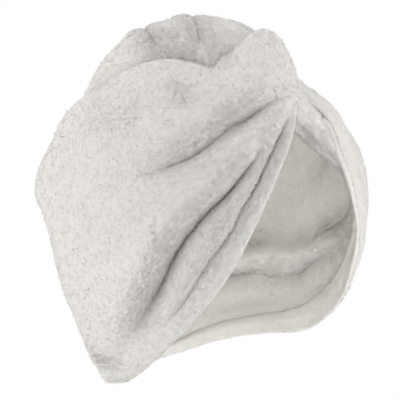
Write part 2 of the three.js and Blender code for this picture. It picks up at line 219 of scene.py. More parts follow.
# Soft rolls of the cloth: the same kind of path, with the height there and the half width in millimetres
ROLLS = (
    {
        "name": "crest", "of": "hood", "face": "outside", "width": 4.5,
        "lie": (24, 31, 36, 40, 43, 48, 51, 52),
        "fall": (82, 70, 60, 50, 41, 33, 28, 22),
        "height": (0, 2.2, 2.8, 2.8, 2.6, 2.2, 1.2, 0),
    },
    {
        "name": "far crest", "of": "hood", "face": "outside", "width": 4.5,
        "lie": (-24, -31, -36, -40, -42, -40, -36),
        "fall": (82, 70, 60, 50, 41, 33, 28),
        "height": (0, 2.2, 2.8, 2.8, 2.6, 2.2, 0),
    },
    {
        "name": "sagging cloth", "of": "hood", "face": "inside", "width": 13,
        "lie": (-62, -68, -74, -83, -93, -101, -106, -110, -114),
        "fall": (130, 121, 114, 106, 100, 93, 88, 82, 77),
        "height": (9, 10, 9.5, 8, 7, 6.5, 5, 3, 0),
    },
    {
        "name": "far lower edge", "of": "hood hem_far", "face": "both", "width": 16,
        "lie": (-140, -134, -128, -118, -108, -98, -87, -78, -68),
        "fall": (82, 100, 112, 121, 130, 139, 148, 157, 168),
        "height": (-3, 0.5, 2.8, 2.2, 2.3, 2.2, 2.5, 3, 0.5),
    },
    {
        "name": "far rim", "of": "hood hem_far", "face": "both", "width": 7,
        "lie": (-143, -141, -138, -136, -131, -122, -108, -96, -86, -76, -68),
        "fall": (60, 72, 84, 95, 108, 120, 130, 140, 150, 160, 170),
        "height": (0, 0.5, 2, 2.8, 3.6, 3.5, 3, 3, 3, 2.5, 0),
    },
    {
        "name": "far shoulder", "of": "hood hem_far", "face": "both", "width": 12,
        "lie": (-30, -57, -75, -95, -108, -112, -117, -125),
        "fall": (10, 19, 22, 20, 23, 30, 38, 48),
        "height": (-2, -5, -2, -1.5, -4, -4, -3, -1),
    },
    {
        "name": "twist top", "of": "hood", "face": "both", "width": 10,
        "lie": (34, 25, 9, 3, -3, -12),
        "fall": (28, 23, 20, 17, 15, 12),
        "height": (1.5, 2.5, 4.5, 4.5, 3, 0),
    },
    {
        "name": "near back edge", "of": "hood", "face": "both", "width": 14,
        "lie": (47, 50, 52, 57, 61, 72, 84, 92),
        "fall": (112, 122, 134, 144, 153, 157, 161, 163),
        "height": (-4, -4, -4, -4, -4, -5, -5, -1),
    },
    {
        "name": "back corner", "of": "hood", "face": "both", "width": 11,
        "lie": (44, 42, 41, 40, 39, 38, 37, 35, 31),
        "fall": (110, 105, 101, 96, 90, 84, 79, 74, 69),
        "height": (0, 3.6, 4.2, 4.4, 3.2, 4.6, 5.2, 4.8, 1.5),
    },
    {
        "name": "bottom tip", "of": "hood", "face": "both", "width": 9,
        "lie": (121, 112, 101, 92),
        "fall": (162, 163, 163, 162),
        "height": (-3.2, 0, 3.2, 1),
    },
    {
        "name": "upper streak", "of": "hood", "face": "outside", "width": 5,
        "lie": (64, 70, 74, 78, 84, 90),
        "fall": (66, 56, 48, 40, 32, 24),
        "height": (0, 0.9, 1.2, 1.2, 0.9, 0),
    },
    {
        "name": "upper hollow", "of": "hood", "face": "outside", "width": 5,
        "lie": (54, 60, 66, 70, 76, 82),
        "fall": (64, 54, 46, 38, 30, 24),
        "height": (0, -0.8, -1.1, -1.1, -0.8, 0),
    },
)

# How the creases are shaped. Places beside a crease are in widths of it
PATH_STEPS = 160  # points along the path of a crease or roll
CREASE_SHARP = 1.5  # power that gives a crease its narrow bottom
CREASE_IN_WALL = 1.8 * MM  # deepest press of one face of the wall without the other
CREASE_BEHIND = 3.0  # how many times as wide as a crease the wall's other face moves with it
END_FADE = 2  # how far a crease or roll runs on beyond its path's ends, in widths of it
CREASE_FILL = 3.0 * MM  # how far the outer face stands out behind a crease of the inner face
LIP_SHARE = 0.35  # height of the cloth heaped beside a crease, as a share of its depth
LIP_AT = 2.4  # where that cloth is highest
HANG_AT = 1.3  # where the cloth hangs over furthest
SIDE_SPREAD = 1.3  # how far the heap and the overhang spread

# The pile
INNER_SPACING = 1.15  # the tufts in the hollow stand this many times as far apart
STRAY_SHARE = 0.025  # share of the tufts that are long thin fibres
STRAY_LENGTH = 1.0  # their length and width as shares of a full tuft's
STRAY_WIDTH = 0.45
TUFT_BEND = 0.25  # share of a tuft's length that its tip leans over
TUFT_LEAN = 0.9  # how far a clump's tufts lean, against standing upright
CURL_WIDTH = 1.6  # width over which the tufts lean alike, as a share of a clump
NAP_FLAT = 0.22  # length of the pile far from any crease, as a share of the full length
NAP_REACH = 11 * MM  # how far from a crease the pile is ruffled
FLEECE_SHEEN = 0.25
HEM_CLUMPS = 0.6  # relief of the turned edges' pile, as a share of the hood's

# The button's rounded edge, and the step inside its raised rim
BUTTON_ROUND = 0.8 * MM
BUTTON_STEP = 0.5 * MM

# The point that the camera looks at, and half the floor's side, in metres
AIM = np.array((-14.85, 12.5, -98.9)) * MM
FLOOR_HALF = 1.5

# Soft lights: where each stands from the middle of the hollow, towards which it shines, and its size, in
# metres, with its power as a share of the lamp power. The last two fill the hollow
LAMPS = (
    {"name": "left", "away": (-0.85, 0.5, -0.1), "size": 1.2, "share": 0.95},
    {"name": "right", "away": (0.62, -0.72, 0.1), "size": 0.9, "share": 0.12},
    {"name": "top", "away": (0.1, 0.1, 0.9), "size": 0.9, "share": 0.55},
    {"name": "mouth", "away": (0.03, -0.35, -0.02), "size": 0.15, "share": 0.065},
    {"name": "hollow", "away": (0.0, -0.045, -0.01), "size": 0.05, "share": 0.0105},
)


class TowelSizes(bpy.types.PropertyGroup):
    """Sizes of the cloth, its pile and the button."""

    crease_depth: bpy.props.FloatProperty(
        name="Crease depth", description="Depth of a full crease", default=3.4 * MM, min=0, unit="LENGTH"
    )
    crease_width: bpy.props.FloatProperty(
        name="Crease width", description="Half width of a crease", default=2.4 * MM, min=0.5 * MM,
        unit="LENGTH",
    )
    crease_overhang: bpy.props.FloatProperty(
        name="Overhang", description="How far cloth hangs over a full crease", default=3.0 * MM, min=0,
        unit="LENGTH",
    )
    clump_height: bpy.props.FloatProperty(
        name="Clump height", description="Relief of the clumped pile", default=0.6 * MM, min=0,
        unit="LENGTH",
    )
    clump_width: bpy.props.FloatProperty(
        name="Clump width", description="Size of a clump", default=3.2 * MM, min=MM, unit="LENGTH"
    )
    pile_length: bpy.props.FloatProperty(
        name="Pile length", description="Length of a tuft", default=1.9 * MM, min=0, unit="LENGTH"
    )
    pile_width: bpy.props.FloatProperty(
        name="Pile width", description="Width of a tuft at its root", default=1.9 * MM, min=0, unit="LENGTH"
    )
    tuft_spacing: bpy.props.FloatProperty(
        name="Tuft spacing", description="Mean distance between tufts", default=1.1 * MM, min=MM,
        unit="LENGTH",
    )
    cloth_wall: bpy.props.FloatProperty(
        name="Cloth wall", description="Thickness of the two layers of fleece", default=3 * MM, min=MM,
        unit="LENGTH",
    )
    tail_height: bpy.props.FloatProperty(
        name="Tail height", description="From the hood to the top of the tail", default=28.5 * MM, min=0,
        unit="LENGTH",
    )
    tail_gap: bpy.props.FloatProperty(
        name="Tail gap", description="Between the tail's rim and the hood", default=0.3 * MM, min=0,
        unit="LENGTH",
    )
    button_rim: bpy.props.FloatProperty(
        name="Button rim", description="Width of the button's raised rim", default=1.8 * MM, min=0,
        unit="LENGTH",
    )


class TowelColours(bpy.types.PropertyGroup):
    """Colours of the cloth and the button; the hollow's lighter fleece is painted light, the darker roots
    painted shade.
    """

    fleece: bpy.props.FloatVectorProperty(
        name="Fleece", description="Colour of the pile's tips", subtype="COLOR", size=3, min=0, max=1,
        default=(0.67, 0.651, 0.618),
    )
    # Darker than the tips: painted shade between the tufts, laid as a random mottle
    fleece_painted_shade: bpy.props.FloatVectorProperty(
        name="Fleece roots", description="Colour between the tufts", subtype="COLOR", size=3, min=0, max=1,
        default=(0.64, 0.622, 0.59),
    )
    # Lighter than the fleece outside, though the cloth is the same: painted light in the hollow
    fleece_painted_light: bpy.props.FloatVectorProperty(
        name="Fleece inside", description="Colour of the pile in the hollow", subtype="COLOR", size=3,
        min=0, max=1, default=(0.8, 0.778, 0.74),
    )
    button: bpy.props.FloatVectorProperty(
        name="Button", description="Colour of the button", subtype="COLOR", size=3, min=0, max=1,
        default=(0.62, 0.6, 0.56),
    )


class StudioSizes(bpy.types.PropertyGroup):
    """Places of the camera and the floor, and strengths of the lights."""

    camera_distance: bpy.props.FloatProperty(
        name="Camera distance", description="From the camera to the towel", default=1.5, min=0.5,
        unit="LENGTH",
    )
    camera_azimuth: bpy.props.FloatProperty(
        name="Camera azimuth", description="Round the towel from its front", default=math.radians(-50),
        subtype="ANGLE",
    )
    frame_width: bpy.props.FloatProperty(
        name="Frame width", description="Width of the picture at the towel", default=0.28, min=0.1,
        unit="LENGTH",
    )
    floor_drop: bpy.props.FloatProperty(
        name="Floor drop", description="From the towel's lowest point to the floor", default=0.5, min=0,
        unit="LENGTH",
    )
    world_strength: bpy.props.FloatProperty(
        name="World strength", description="Light from all round", default=1.0, min=0
    )
    lamp_power: bpy.props.FloatProperty(
        name="Lamp power", description="Power that each soft light has a share of", default=3.9, min=0,
        unit="POWER",
    )


def angles_of(points):
    """Lie and fall in degrees, and the distance from the middle, of each point."""
    away = points - MIDDLE
    reach = np.linalg.norm(away, axis=1)
    towards = away / reach[:, None]
    fall = np.degrees(np.arccos(np.clip(towards @ UP, -1, 1)))
    lie = np.degrees(np.arctan2(towards @ RIGHT, towards @ BACK))
    return lie, fall, reach, towards


def direction(lie, fall):
    """Unit directions from the middle for arrays of lie and fall in degrees."""
    lie, fall = np.radians(lie)[:, None], np.radians(fall)[:, None]
    return np.cos(fall) * UP + np.sin(fall) * (np.cos(lie) * BACK + np.sin(lie) * RIGHT)


def smooth_path(values, steps):
    """Values along a table, eased between its entries, at evenly spaced steps."""
    padded = np.concatenate(([values[0]], values, [values[-1]])).astype(float)
    at = np.linspace(0, len(values) - 1, steps)
    i = np.minimum(at.astype(int), len(values) - 2)
    t = at - i
    a, b, c, d = padded[i], padded[i + 1], padded[i + 2], padded[i + 3]
    return 0.5 * (2 * b + (c - a) * t + (2 * a - 5 * b + 4 * c - d) * t**2 + (3 * b - a - 3 * c + d) * t**3)


def facing(obj):
    """Share of each vertex's face that looks out of the hollow: 1 outside, 0 inside."""
    mesh = obj.data
    normal = np.empty(len(mesh.vertices) * 3)
    mesh.vertex_normals.foreach_get("vector", normal)
    points = points_of(mesh)
    outward = np.einsum("ij,ij->i", normal.reshape(-1, 3), angles_of(points)[3])
    return np.clip(0.5 + 2 * outward, 0, 1)


def points_of(mesh):
    """Places of a mesh's vertices, one in each row."""
    flat = np.empty(len(mesh.vertices) * 3)
    mesh.vertices.foreach_get("co", flat)
    return flat.reshape(-1, 3)


def move_points(mesh, points):
    """Puts a mesh's vertices at those places."""
    mesh.vertices.foreach_set("co", points.ravel())
    mesh.update()


def along_path(points, entry, column):
    """For each point: the table's value at the nearest place of the path, the distance across the path,
    positive on the side of larger lies or falls, how far it lies beyond the path's ends, in metres, and
    the directions across the path and away from the middle."""
    reach, towards = angles_of(points)[2:]
    path = direction(smooth_path(entry["lie"], PATH_STEPS), smooth_path(entry["fall"], PATH_STEPS))
    along = np.gradient(path, axis=0)
    along /= np.linalg.norm(along, axis=1)[:, None]
    side = np.cross(path, along)
    runs_round = np.ptp(entry["lie"]) > np.ptp(entry["fall"])
    counted = 1 if runs_round else 0
    ahead = angles_of(MIDDLE + path + 0.01 * side)[counted]
    if np.mean(ahead - angles_of(MIDDLE + path)[counted]) < 0:
        side = -side
    nearest = np.argmax(towards @ path.T, axis=1)
    gap = towards - path[nearest]
    across = np.einsum("ij,ij->i", gap, side[nearest]) * reach
    beyond = np.einsum("ij,ij->i", gap, along[nearest]) * reach
    value = smooth_path(entry[column], PATH_STEPS)[nearest]
    return value, across, beyond, side[nearest], towards


def crease(points, outside, entry, sizes):
    """Moves of the points that press one crease into the cloth and hang one side over it."""
    depth, across, beyond, side, towards = along_path(points, entry, "depth")
    width = sizes.crease_width * entry["width"]
    full = np.clip(depth, 0, None) * np.exp(-((beyond / (END_FADE * width)) ** 2))
    pressed = full * sizes.crease_depth * np.exp(-np.abs(across / width) ** CREASE_SHARP)
    over = entry["over"] * across / width
    lip = full * LIP_SHARE * sizes.crease_depth * np.exp(-((over - LIP_AT) / SIDE_SPREAD) ** 2)
    hung = np.exp(-((over - HANG_AT) / SIDE_SPREAD) ** 2) * (over > -1)
    hang = full * sizes.crease_overhang * hung
    if entry["face"] == "outside":
        shown = outside
        behind = full * sizes.crease_depth * np.exp(-((across / (CREASE_BEHIND * width)) ** 2))
        followed = np.clip(behind - CREASE_IN_WALL, 0, None)
        out = (lip - pressed) * shown - followed * (1 - shown)
    else:
        shown = 1 - outside
        filled = np.clip(depth, 0, 1) * np.exp(-((across / (CREASE_BEHIND * width)) ** 2))
        out = (np.minimum(pressed, CREASE_IN_WALL) - lip) * shown + CREASE_FILL * filled * outside
    return towards * out[:, None] - side * (hang * shown * entry["over"])[:, None]


def roll(points, outside, entry):
    """Moves of the points that raise one soft roll of the cloth."""
    height, across, beyond, _, towards = along_path(points, entry, "height")
    width = entry["width"] * MM
    shown = {"outside": outside, "inside": 1 - outside, "both": 1}[entry["face"]]
    out = -1 if entry["face"] == "inside" else 1
    full = height * MM * np.exp(-((across / width) ** 2) - (beyond / (END_FADE * width)) ** 2)
    return towards * (full * out * shown)[:, None]


def new_object(name, data):
    """An object of that name, linked to the scene."""
    obj = bpy.data.objects.new(name, data)
    bpy.context.scene.collection.objects.link(obj)
    return obj


def object_from(edit, name):
    """An object of the shape that a bmesh holds."""
    mesh = bpy.data.meshes.new(name)
    edit.to_mesh(mesh)
    edit.free()
    return new_object(name, mesh)


def copy_of_node(node, name):
    """A merged copy of a node's mesh in quads, smooth and ready to subdivide."""
    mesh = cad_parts[node].data.copy()
    mesh.name = name
    mesh.materials.clear()
    edit = bmesh.new()
    edit.from_mesh(mesh)
    bmesh.ops.remove_doubles(edit, verts=edit.verts, dist=0.02 * MM)
    bmesh.ops.join_triangles(
        edit, faces=edit.faces, angle_face_threshold=math.radians(60),
        angle_shape_threshold=math.radians(70),
    )
    for face in edit.faces:
        face.smooth = True
    edit.to_mesh(mesh)
    edit.free()
    if mesh.has_custom_normals:
        mesh.normals_split_custom_set_from_vertices([(0, 0, 0)] * len(mesh.vertices))
    return new_object(name, mesh)


def apply_modifiers(obj):
    """Replaces the object's mesh by what its modifiers make of it."""
    made = bpy.data.meshes.new_from_object(obj.evaluated_get(bpy.context.evaluated_depsgraph_get()))
    obj.modifiers.clear()
    old = obj.data
    obj.data = made
    made.name = old.name
    bpy.data.meshes.remove(old)
    return obj


def subdivide(obj, levels):
    """Smooths the object's mesh by that many levels."""
    modifier = obj.modifiers.new("Subdivision", "SUBSURF")
    modifier.levels = modifier.render_levels = levels
    return apply_modifiers(obj)


def shape_cloth(obj, node, sizes):
    """Raises the soft rolls of one node's cloth, presses its creases and notes how long the pile is."""
    outside = np.zeros(len(obj.data.vertices)) if node.startswith("hem") else facing(obj)
    points = points_of(obj.data)
    rolls = [entry for entry in ROLLS if node in entry["of"].split()]
    creases = [entry for entry in CREASES if node in entry["of"].split()]
    raised = points + sum((roll(points, outside, entry) for entry in rolls), 0)
    pressed = sum((crease(raised, outside, entry, sizes) for entry in creases), 0)
    ruffled = max_of([ruffle(raised, entry) for entry in creases], len(points))
    move_points(obj.data, raised + pressed)
    set_nap(obj, NAP_FLAT + (1 - NAP_FLAT) * ruffled)


def ruffle(points, entry):
    """How much one crease ruffles the pile round it: 1 at the crease, 0 far away."""
    depth, across, beyond, _, _ = along_path(points, entry, "depth")
    return np.clip(depth, 0, 1) * np.exp(-((across**2 + beyond**2) / NAP_REACH**2))


def max_of(shares, count):
    """The largest share at each vertex, or 0 where a cloth has no crease."""
    return np.max(shares, axis=0) if shares else np.zeros(count)


def set_nap(obj, nap):
    """Stores the length of the pile at each vertex, as a share of the full length."""
    layer = obj.data.attributes.new("nap", "FLOAT", "POINT")
    layer.data.foreach_set("value", np.broadcast_to(nap, len(obj.data.vertices)).astype(np.float32))


def clump(obj, height, width):
    """Raises the short curls of the pile by a soft noise along the normals."""
    texture = bpy.data.textures.new(obj.name + "_clumps", "CLOUDS")
    texture.noise_scale = width
    texture.noise_depth = 2
    texture.noise_type = "SOFT_NOISE"
    modifier = obj.modifiers.new("Clumps", "DISPLACE")
    modifier.texture = texture
    modifier.texture_coords = "LOCAL"
    modifier.strength = height
    modifier.mid_level = 0.5
    return apply_modifiers(obj)


def shade_smooth(obj):
    """Shades all faces smooth."""
    obj.data.polygons.foreach_set("use_smooth", np.ones(len(obj.data.polygons), bool))


def new_material(name, roughness):
    """A material, and its shader with that roughness."""
    material = bpy.data.materials.new(name)
    material.use_nodes = True
    shader = material.node_tree.nodes["Principled BSDF"]
    shader.inputs["Roughness"].default_value = roughness
    return material, shader


def fleece_material(name, tip, root):
    """Short matt pile: a mottle with painted shade, soft fuzz of light at grazing angles and a fine nap."""
    material, shader = new_material(name, 0.95)
    tree = material.node_tree
    shader.inputs["Sheen Weight"].default_value = FLEECE_SHEEN
    shader.inputs["Sheen Roughness"].default_value = 0.6
    shader.inputs["Specular IOR Level"].default_value = 0.15
    place = tree.nodes.new("ShaderNodeTexCoord")
    mottle = tree.nodes.new("ShaderNodeTexNoise")
    mottle.inputs["Scale"].default_value = 260
    mottle.inputs["Detail"].default_value = 4
    mottle.inputs["Roughness"].default_value = 0.65
    colours = tree.nodes.new("ShaderNodeValToRGB")
    # The root colour is painted shade of the pile's depths, spread by the random mottle
    colours.color_ramp.elements[0].position = 0.32
    colours.color_ramp.elements[0].color = (*root, 1)
    colours.color_ramp.elements[1].position = 0.66
    colours.color_ramp.elements[1].color = (*tip, 1)
    nap = tree.nodes.new("ShaderNodeTexNoise")
    nap.inputs["Scale"].default_value = 900
    nap.inputs["Detail"].default_value = 3
    bump = tree.nodes.new("ShaderNodeBump")
    bump.inputs["Strength"].default_value = 0.15
    bump.inputs["Distance"].default_value = 0.6 * MM
    link = tree.links.new
    link(place.outputs["Object"], mottle.inputs["Vector"])
    link(place.outputs["Object"], nap.inputs["Vector"])
    link(mottle.outputs["Fac"], colours.inputs["Fac"])
    link(colours.outputs["Color"], shader.inputs["Base Color"])
    link(nap.outputs["Fac"], bump.inputs["Height"])
    link(bump.outputs["Normal"], shader.inputs["Normal"])
    return material


def fleece_of(name):
    """The fleece of that name, made the first time that a piece asks for it; the hollow's is lighter, as
    painted light.
    """
    colours = bpy.context.scene.towel_colours
    if name not in bpy.data.materials:
        # The fleece in the hollow gets a lighter tip colour: painted light
        tip = colours.fleece_painted_light if name == "fleece_pile_inside" else colours.fleece
        # The root colour is the tip darkened as painted shade between the tufts
        root = tuple(part * min(colours.fleece_painted_shade) / min(colours.fleece) for part in tip)
        fleece_material(name, tip, root)
    return bpy.data.materials[name]


def button_plastic(name):
    """Half matt moulded plastic, slightly uneven in tone."""
    material, shader = new_material(name, 0.45)
    tree = material.node_tree
    place = tree.nodes.new("ShaderNodeTexCoord")
    cloud = tree.nodes.new("ShaderNodeTexNoise")
    cloud.inputs["Scale"].default_value = 140
    colours = tree.nodes.new("ShaderNodeValToRGB")
    tint = bpy.context.scene.towel_colours.button
    colours.color_ramp.elements[0].color = (*(0.93 * part for part in tint), 1)
    colours.color_ramp.elements[1].color = (*tint, 1)
    tree.links.new(place.outputs["Object"], cloud.inputs["Vector"])
    tree.links.new(cloud.outputs["Fac"], colours.inputs["Fac"])
    tree.links.new(colours.outputs["Color"], shader.inputs["Base Color"])
    return material


def tuft(name, width, length):
    """One tuft of pile: a three-sided point that bends over, open at its root."""
    edit = bmesh.new()
    bmesh.ops.create_cone(edit, segments=3, cap_ends=False, radius1=width / 2, radius2=0, depth=length)
    bmesh.ops.remove_doubles(edit, verts=edit.verts, dist=0.001 * MM)
    bmesh.ops.translate(edit, verts=edit.verts, vec=(0, 0, length / 2))
    for v in edit.verts:
        if v.co.z > length / 2:
            v.co.y += TUFT_BEND * length
    return object_from(edit, name)


def maths(group, kind, operation, *values):
    """The outcome of a maths node of that kind, fed by values and by other nodes' sockets."""
    node = group.nodes.new(kind)
    node.operation = operation
    for socket, value in zip(node.inputs, values):
        if isinstance(value, bpy.types.NodeSocket):
            group.links.new(value, socket)
        else:
            socket.default_value = value
    return node.outputs[0]


def random_share(group, low, high, seed):
    """A random value of each tuft's own, from low to high."""
    node = group.nodes.new("FunctionNodeRandomValue")
    node.data_type = "FLOAT"
    node.inputs[2].default_value = low
    node.inputs[3].default_value = high
    node.inputs["Seed"].default_value = seed
    return node.outputs[1]


def tuft_turns(group, upright, curls, seed):
    """Turns that stand the tufts on the cloth, lean them with their clump and spin each one."""
    new, link = group.nodes.new, group.links.new
    centred = maths(group, "ShaderNodeVectorMath", "SUBTRACT", curls.outputs["Color"], (0.5, 0.5, 0.5))
    lean = maths(group, "ShaderNodeVectorMath", "SCALE", centred)
    lean.node.inputs["Scale"].default_value = TUFT_LEAN
    stray = new("FunctionNodeRandomValue")
    stray.data_type = "FLOAT_VECTOR"
    stray.inputs["Min"].default_value = (-0.3, -0.3, -0.2)
    stray.inputs["Max"].default_value = (0.3, 0.3, 0.3)
    stray.inputs["Seed"].default_value = seed + 1
    bent = maths(group, "ShaderNodeVectorMath", "ADD", lean, stray.outputs[0])
    align = new("FunctionNodeAlignRotationToVector")
    align.axis = "Z"
    link(maths(group, "ShaderNodeVectorMath", "ADD", upright, bent), align.inputs["Vector"])
    turn = new("FunctionNodeAxisAngleToRotation")
    link(random_share(group, 0, 2 * math.pi, seed + 2), turn.inputs["Angle"])
    rotate = new("FunctionNodeRotateRotation")
    rotate.rotation_space = "LOCAL"
    link(align.outputs[0], rotate.inputs["Rotation"])
    link(turn.outputs[0], rotate.inputs["Rotate By"])
    return rotate.outputs[0]


def tuft_scales(group, curls, seed):
    """Scales of the tufts: longer on a clump and near a crease, with a few long thin fibres."""
    new, link = group.nodes.new, group.links.new
    taller = new("ShaderNodeMapRange")
    taller.inputs["From Min"].default_value = 0.3
    taller.inputs["From Max"].default_value = 0.7
    taller.inputs["To Min"].default_value = 0.6
    taller.inputs["To Max"].default_value = 1.25
    link(curls.outputs["Fac"], taller.inputs["Value"])
    nap = new("GeometryNodeInputNamedAttribute")
    nap.data_type = "FLOAT"
    nap.inputs["Name"].default_value = "nap"
    clumped = maths(group, "ShaderNodeMath", "MULTIPLY", taller.outputs["Result"], nap.outputs["Attribute"])
    picked = random_share(group, 0, 1, seed + 5)
    fibre = maths(group, "ShaderNodeMath", "GREATER_THAN", picked, 1 - STRAY_SHARE)
    fibre_length = maths(group, "ShaderNodeMath", "MULTIPLY", fibre, STRAY_LENGTH)
    narrowed = maths(group, "ShaderNodeMath", "MULTIPLY_ADD", fibre, STRAY_WIDTH - 1, 1.0)
    short = maths(group, "ShaderNodeMath", "MULTIPLY", clumped, random_share(group, 0.8, 1.15, seed + 3))
    long = maths(group, "ShaderNodeMath", "MAXIMUM", short, fibre_length)
    wide = maths(group, "ShaderNodeMath", "MULTIPLY", random_share(group, 0.85, 1.1, seed + 4), narrowed)
    scale = new("ShaderNodeCombineXYZ")
    link(wide, scale.inputs["X"])
    link(wide, scale.inputs["Y"])
    link(long, scale.inputs["Z"])
    return scale.outputs[0]


def pile_nodes(blade, sizes, seed, spacing):
    """Geometry nodes that stand tufts all over a cloth, in clumps, with the cloth's own normals."""
    group = bpy.data.node_groups.new("pile_%d" % seed, "GeometryNodeTree")
    group.interface.new_socket("Geometry", in_out="INPUT", socket_type="NodeSocketGeometry")
    group.interface.new_socket("Geometry", in_out="OUTPUT", socket_type="NodeSocketGeometry")
    new, link = group.nodes.new, group.links.new
    source, result = new("NodeGroupInput"), new("NodeGroupOutput")
    spread = new("GeometryNodeDistributePointsOnFaces")
    spread.inputs["Density"].default_value = 1 / (spacing * sizes.tuft_spacing) ** 2
    spread.inputs["Seed"].default_value = seed
    link(source.outputs[0], spread.inputs["Mesh"])

    remember = new("GeometryNodeStoreNamedAttribute")
    remember.data_type = "FLOAT_VECTOR"
    remember.inputs["Name"].default_value = "root_normal"
    link(spread.outputs["Points"], remember.inputs["Geometry"])
    link(spread.outputs["Normal"], remember.inputs["Value"])

    curls = new("ShaderNodeTexNoise")
    curls.inputs["Scale"].default_value = 1 / (CURL_WIDTH * sizes.clump_width)
    curls.inputs["Detail"].default_value = 2
    link(new("GeometryNodeInputPosition").outputs[0], curls.inputs["Vector"])

    stamp = new("GeometryNodeInstanceOnPoints")
    pick = new("GeometryNodeObjectInfo")
    pick.inputs["Object"].default_value = blade
    link(remember.outputs[0], stamp.inputs["Points"])
    link(pick.outputs["Geometry"], stamp.inputs["Instance"])
    link(tuft_turns(group, spread.outputs["Normal"], curls, seed), stamp.inputs["Rotation"])
    link(tuft_scales(group, curls, seed), stamp.inputs["Scale"])
    realize = new("GeometryNodeRealizeInstances")
    link(stamp.outputs[0], realize.inputs[0])

    recall = new("GeometryNodeInputNamedAttribute")
    recall.data_type = "FLOAT_VECTOR"
    recall.inputs["Name"].default_value = "root_normal"
    light = new("GeometryNodeSetMeshNormal")
    light.mode = "FREE"
    light.domain = "POINT"
    link(realize.outputs[0], light.inputs["Mesh"])
    link(recall.outputs["Attribute"], light.inputs["Custom Normal"])
    link(light.outputs[0], result.inputs[0])
    return group


def faces_of(mesh):
    """Middles and normals of a mesh's faces."""
    middles, normals = np.empty(len(mesh.polygons) * 3), np.empty(len(mesh.polygons) * 3)
    mesh.polygons.foreach_get("center", middles)
    mesh.polygons.foreach_get("normal", normals)
    return middles.reshape(-1, 3), normals.reshape(-1, 3)


def patch_of(obj, name, keep):
    """A copy of the faces of a cloth that keep chooses by their middles and normals."""
    mesh = obj.data
    chosen = keep(*faces_of(mesh))
    copy = mesh.copy()
    edit = bmesh.new()
    edit.from_mesh(copy)
    edit.faces.ensure_lookup_table()
    bmesh.ops.delete(edit, geom=[edit.faces[i] for i in np.flatnonzero(~chosen)], context="FACES")
    edit.to_mesh(copy)
    edit.free()
    return new_object(name, copy)


def grow_pile(cloth, name, seed, keep, spacing=1, material="fleece_pile"):
    """A piece of pile over part of a cloth, joined in one mesh. Spacing is a share of the tufts' own."""
    sizes = bpy.context.scene.towel_sizes
    blade = tuft(name + "_tuft", sizes.pile_width, sizes.pile_length)
    patch = patch_of(cloth, name, keep)
    modifier = patch.modifiers.new("Pile", "NODES")
    modifier.node_group = pile_nodes(blade, sizes, seed, spacing)
    apply_modifiers(patch)
    bpy.data.objects.remove(blade)
    patch.data.materials.clear()
    patch.data.materials.append(fleece_of(material))
    shade_smooth(patch)
    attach(patch, BODY)
    return patch


def outer(middles, normals):
    """Faces that look out of the hollow, with the edge of the wall."""
    return np.einsum("ij,ij->i", normals, angles_of(middles)[3]) > FACES_IN


def outer_near(middles, normals):
    """Outer faces on the wearer's right."""
    return outer(middles, normals) & (middles[:, 0] < 0)


def outer_far(middles, normals):
    """Outer faces on the wearer's left."""
    return outer(middles, normals) & (middles[:, 0] >= 0)


def inner_near(middles, normals):
    """Inner faces on the wearer's right."""
    return ~outer(middles, normals) & (middles[:, 0] < 0)


def inner_far(middles, normals):
    """Inner faces on the wearer's left."""
    return ~outer(middles, normals) & (middles[:, 0] >= 0)


def everywhere(middles, normals):
    """Every face, as on the turned edges and the strand."""
    return np.ones(len(middles), bool)


def tail_form(across, along):
    """Lie, fall and height over the hood of the tail's outer face, for arrays from -1 to 1 and 0 to 1."""
    sizes = bpy.context.scene.towel_sizes
    mouth = np.interp(across, MOUTH_ACROSS, MOUTH_LIE)
    start = TAIL_FALL[0] + MOUTH_SLANT * (mouth / MOUTH_LIE[-1]) ** 2
    # Rows lie closer together near the mouth
    share = 0.35 * along + 0.65 * along**2 * (1.6 - 0.6 * along)
    fall = start + (TAIL_FALL[-1] - start) * share
    spread = np.minimum(1, (fall - start) / MOUTH_SPREAD)
    half = np.interp(fall, TAIL_FALL, TAIL_HALF)
    lie = mouth + (half * across - mouth) * spread * (2 - spread)
    plump = (1 - across**4) ** 0.75
    swell = np.sqrt(np.minimum(1, (fall - start) / MOUTH_SWELL))
    rise = np.interp(fall, TAIL_FALL, TAIL_RISE)
    return lie, fall, sizes.tail_height * rise * plump * swell


def tail_sheet(name, hood):
    """The tail as one sheet over the hood's cloth, meeting it at its rim, where its wall thins."""
    sizes = bpy.context.scene.towel_sizes
    below = BVHTree.FromObject(hood, bpy.context.evaluated_depsgraph_get())
    edit = bmesh.new()
    bmesh.ops.create_grid(edit, x_segments=TAIL_COLUMNS, y_segments=TAIL_ROWS, size=1)
    laid = np.array([v.co for v in edit.verts])
    lie, fall, height = tail_form(laid[:, 0], (laid[:, 1] + 1) / 2)
    base = np.empty(len(laid))
    towards = direction(lie, fall)
    for i, outwards in enumerate(towards):
        hit = below.ray_cast(Vector(MIDDLE + CAST_FROM * outwards), Vector(-outwards))[0]
        base[i] = (hit - Vector(MIDDLE)).length
    for i, v in enumerate(edit.verts):
        v.co = MIDDLE + towards[i] * (base[i] + sizes.tail_gap + height[i])
    edit.normal_update()
    back = Vector(BACK)
    middle_face = min(edit.faces, key=lambda f: (f.calc_center_median() - Vector(MIDDLE)).angle(back))
    if middle_face.normal.dot(back) < 0:
        bmesh.ops.reverse_faces(edit, faces=edit.faces)
    obj = object_from(edit, name)
    wall = obj.vertex_groups.new(name="wall")
    for i, share in enumerate(np.clip(height / sizes.cloth_wall, TAIL_THIN, 1)):
        wall.add([i], float(share), "REPLACE")
    solid = obj.modifiers.new("Wall", "SOLIDIFY")
    solid.thickness = sizes.cloth_wall
    solid.offset = -1
    solid.vertex_group = "wall"
    solid.thickness_vertex_group = 0
    apply_modifiers(obj)
    return subdivide(obj, 1)


